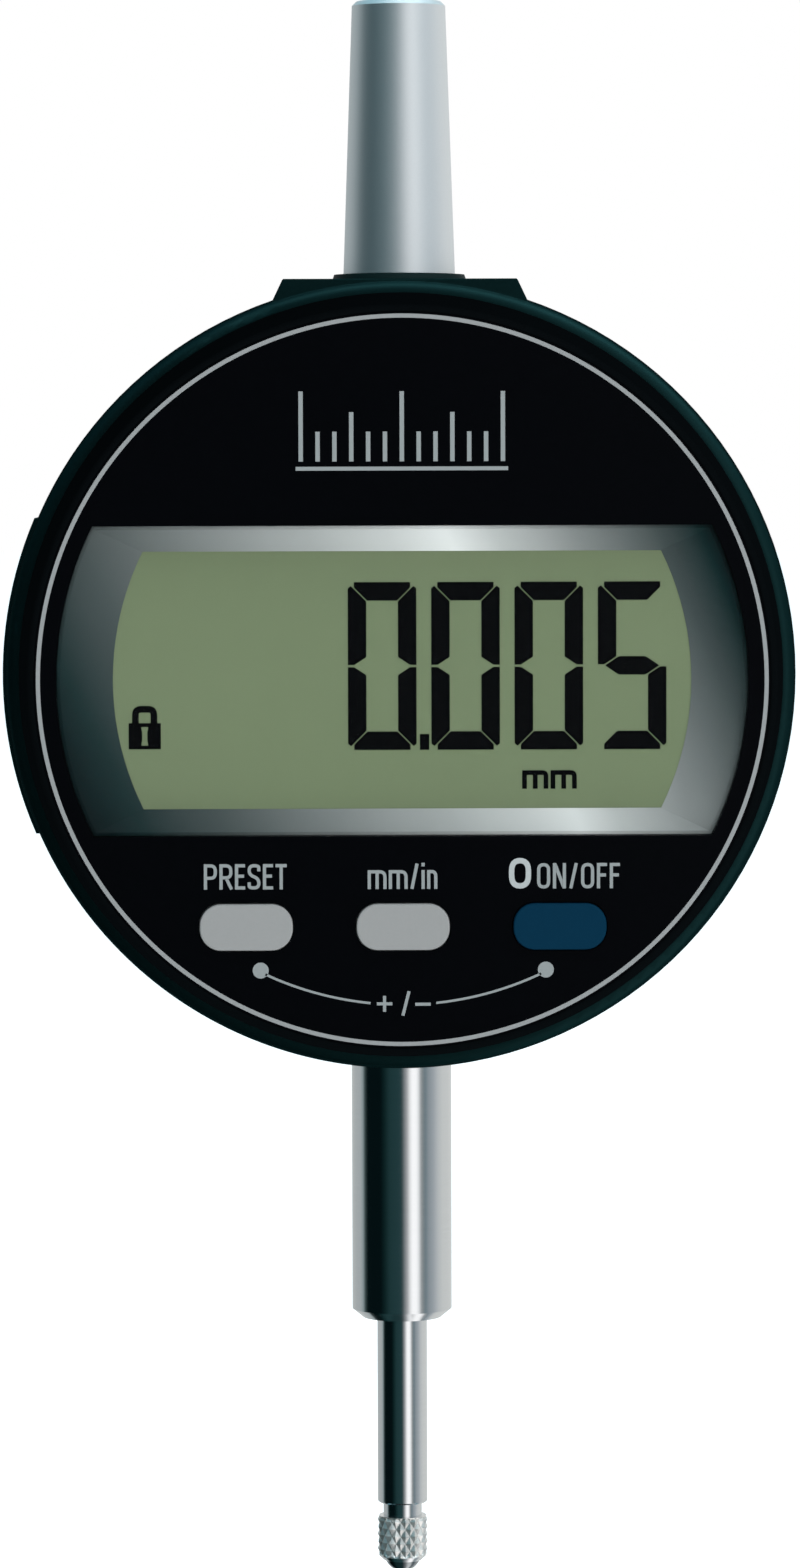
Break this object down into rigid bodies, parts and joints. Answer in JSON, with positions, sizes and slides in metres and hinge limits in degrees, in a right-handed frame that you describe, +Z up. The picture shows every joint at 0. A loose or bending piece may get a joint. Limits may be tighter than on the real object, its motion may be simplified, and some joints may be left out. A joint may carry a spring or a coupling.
{
  "type": "digital dial indicator",
  "caption": "Round digital dial indicator: clamping stem below, sprung plunger with ball contact, turning display head with keys, side battery drawer, cap on top.",
  "frame": {"origin": "on the plunger axis, at the middle of the straight clamping length of the stem", "axes": "+Z up the plunger towards the cap, -Y out of the display, +X to the right of someone reading it"},
  "size_m": [0.0628, 0.0268, 0.126],
  "materials": {
    "housing_dark": "dark green-black anodised, satin",
    "bezel_black": "black, satin",
    "face_black": "black, smooth",
    "key_grey": "light grey, satin",
    "key_blue": "dark blue, satin",
    "ground_steel": "ground, bright",
    "small_steel": "zinc-plated screws and rings",
    "spring_steel": "drawn wire",
    "cap_aluminium": "satin anodised",
    "carbide": "polished",
    "bush_brass": "machined",
    "carrier_black": "black anodised",
    "silver_frame": "silver, satin",
    "lens_clear": "clear",
    "lcd_olive": "olive green display",
    "reflector_olive": "olive green film",
    "board_green": "solder resist",
    "chip_black": "moulded",
    "rubber_black": "matt",
    "flex_amber": "polyimide film",
    "contact_gold": "plated spring leaf",
    "cell_steel": "nickel-plated",
    "strip_glass": "copper pattern on glass-fibre"
  },
  "bodies": {
    "housing": {"housing_shell": "housing_dark", "back_cover": "housing_dark", "back_cover_gasket": "rubber_black", "back_cover_screws": "small_steel", "stem": "ground_steel", "stem_bushes": "bush_brass", "upper_bush": "carrier_black", "stop_washer": "rubber_black", "guide_rod": "ground_steel", "travel_stop_ring": "small_steel", "sensor_board": "board_green", "encoder_chip": "chip_black", "sensor_board_parts": "chip_black", "sensor_board_screws": "small_steel", "battery_contact_plus": "contact_gold", "battery_contact_minus": "contact_gold", "head_friction_ring": "rubber_black", "flex_tail": "flex_amber", "return_spring": "spring_steel"},
    "plunger": {"spindle": "ground_steel", "contact_body": "ground_steel", "contact_ball": "carbide", "scale_carrier": "carrier_black", "carrier_screw": "small_steel", "scale_strip": "strip_glass"},
    "display_head": {"bezel_shell": "bezel_black", "face_plate": "face_black", "window_lens": "lens_clear", "lcd_surround": "silver_frame", "lcd_glass": "lcd_olive", "lcd_reflector": "reflector_olive", "elastomer_strips": "rubber_black", "main_board": "board_green", "main_board_parts": "chip_black", "main_board_screws": "small_steel", "key_domes": "small_steel", "key_guide_plate": "chip_black", "flex_spiral": "flex_amber", "head_retaining_ring": "small_steel", "head_stop_pin": "ground_steel"},
    "preset_key": {"preset_key": "key_grey"},
    "unit_key": {"unit_key": "key_grey"},
    "power_key": {"power_key": "key_blue"},
    "battery_drawer": {"battery_tray": "housing_dark", "coin_cell": "cell_steel"},
    "stem_cap": {"stem_cap": "cap_aluminium"}
  },
  "joints": [
    {"name": "plunger_slide", "type": "slide", "parent": "housing", "child": "plunger", "axis": [0, 0, 1], "range_m": [0, 0.0125], "stiffness_N_per_m": 36, "springref_m": -0.018, "deforming": ["return_spring"]},
    {"name": "display_turn", "type": "hinge", "parent": "housing", "child": "display_head", "pos_m": [0, 0, 0.04125], "axis": [0, 1, 0], "range_deg": [-135, 135], "deforming": ["flex_spiral"]},
    {"name": "preset_key_press", "type": "slide", "parent": "display_head", "child": "preset_key", "axis": [0, 1, 0], "range_m": [0, 0.0005], "stiffness_N_per_m": 800, "springref_m": -0.001},
    {"name": "unit_key_press", "type": "slide", "parent": "display_head", "child": "unit_key", "axis": [0, 1, 0], "range_m": [0, 0.0005], "stiffness_N_per_m": 800, "springref_m": -0.001},
    {"name": "power_key_press", "type": "slide", "parent": "display_head", "child": "power_key", "axis": [0, 1, 0], "range_m": [0, 0.0005], "stiffness_N_per_m": 800, "springref_m": -0.001},
    {"name": "battery_drawer_slide", "type": "slide", "parent": "housing", "child": "battery_drawer", "axis": [-1, 0, 0], "range_m": [0, 0.026]},
    {"name": "stem_cap_pull", "type": "slide", "parent": "housing", "child": "stem_cap", "axis": [0, 0, 1], "range_m": [0, 0.024]}
  ]
}
